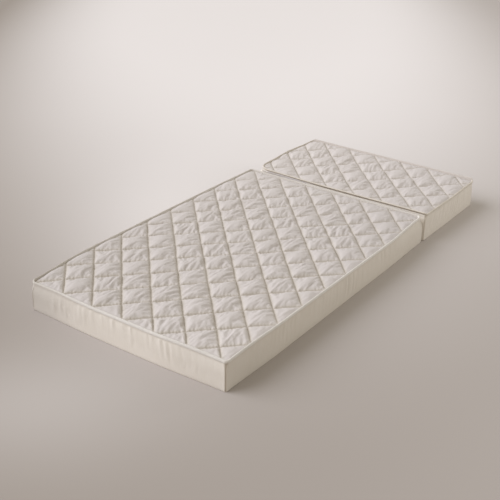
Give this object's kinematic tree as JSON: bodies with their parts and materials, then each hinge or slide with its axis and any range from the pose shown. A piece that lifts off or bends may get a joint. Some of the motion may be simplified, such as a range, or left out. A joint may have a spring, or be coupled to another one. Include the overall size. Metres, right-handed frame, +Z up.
{
  "type": "folding mattress",
  "caption": "Quilted folding mattress for a bed or cot: a long and a short foam pad in zipped covers, joined by a fabric hinge at the top of the crevice.",
  "frame": {"origin": "middle of the underside of the whole mattress, on the surface that it lies on", "axes": "+X across the width to the right side, +Y along the length from the long pad to the short one, +Z up"},
  "size_m": [0.9058, 1.9058, 0.122],
  "materials": {
    "quilting": "matt woven cotton quilted through in diamonds",
    "wall_cloth": "matt plain woven cream cotton",
    "base_cloth": "matt plain woven cream cotton, a little coarser",
    "binding": "ribbed off-white binding tape",
    "foam": "open-cell upholstery foam",
    "zip_tape": "close-woven cream zip tape",
    "zip_nylon": "cream nylon coil",
    "zip_metal": "nickel-plated, slightly worn"
  },
  "bodies": {
    "long_pad": {"long_foam_core": "foam", "long_base_cloth": "base_cloth", "long_side_wall": "wall_cloth", "long_quilted_top": "quilting", "long_top_binding": "binding", "long_zip_tape_upper": "zip_tape", "long_zip_tape_lower": "zip_tape", "long_zip_teeth_upper": "zip_nylon", "long_zip_teeth_lower": "zip_nylon", "long_zip_stop_closed": "zip_metal", "long_zip_stop_open": "zip_metal"},
    "hinge": {"hinge_strip": "wall_cloth"},
    "short_pad": {"short_foam_core": "foam", "short_base_cloth": "base_cloth", "short_side_wall": "wall_cloth", "short_quilted_top": "quilting", "short_top_binding": "binding", "short_zip_tape_upper": "zip_tape", "short_zip_tape_lower": "zip_tape", "short_zip_teeth_upper": "zip_nylon", "short_zip_teeth_lower": "zip_nylon", "short_zip_stop_closed": "zip_metal", "short_zip_stop_open": "zip_metal"},
    "long_slider": {"long_zip_slider": "zip_metal"},
    "long_pull": {"long_zip_pull": "zip_metal"},
    "short_slider": {"short_zip_slider": "zip_metal"},
    "short_pull": {"short_zip_pull": "zip_metal"}
  },
  "joints": [
    {"name": "hinge_fold", "type": "hinge", "parent": "long_pad", "child": "hinge", "pos_m": [0, 0.4417, 0.115], "axis": [1, 0, 0], "range_deg": [0, 90]},
    {"name": "short_pad_fold", "type": "hinge", "parent": "hinge", "child": "short_pad", "pos_m": [0, 0.4583, 0.115], "axis": [1, 0, 0], "range_deg": [0, 90]},
    {"name": "long_zip_slide", "type": "slide", "parent": "long_pad", "child": "long_slider", "axis": [0, 1, 0], "range_m": [0, 1.185]},
    {"name": "long_pull_swing", "type": "hinge", "parent": "long_slider", "child": "long_pull", "pos_m": [-0.4537, -0.844, 0.04], "axis": [0, 0, 1], "range_deg": [0, 175]},
    {"name": "short_zip_slide", "type": "slide", "parent": "short_pad", "child": "short_slider", "axis": [1, 0, 0], "range_m": [0, 0.705]},
    {"name": "short_pull_swing", "type": "hinge", "parent": "short_slider", "child": "short_pull", "pos_m": [-0.3525, 0.9537, 0.04], "axis": [0, 0, 1], "range_deg": [0, 175]}
  ],
  "couplings": [
    {"joint": "short_pad_fold", "follows": "hinge_fold", "ratio": 1}
  ]
}
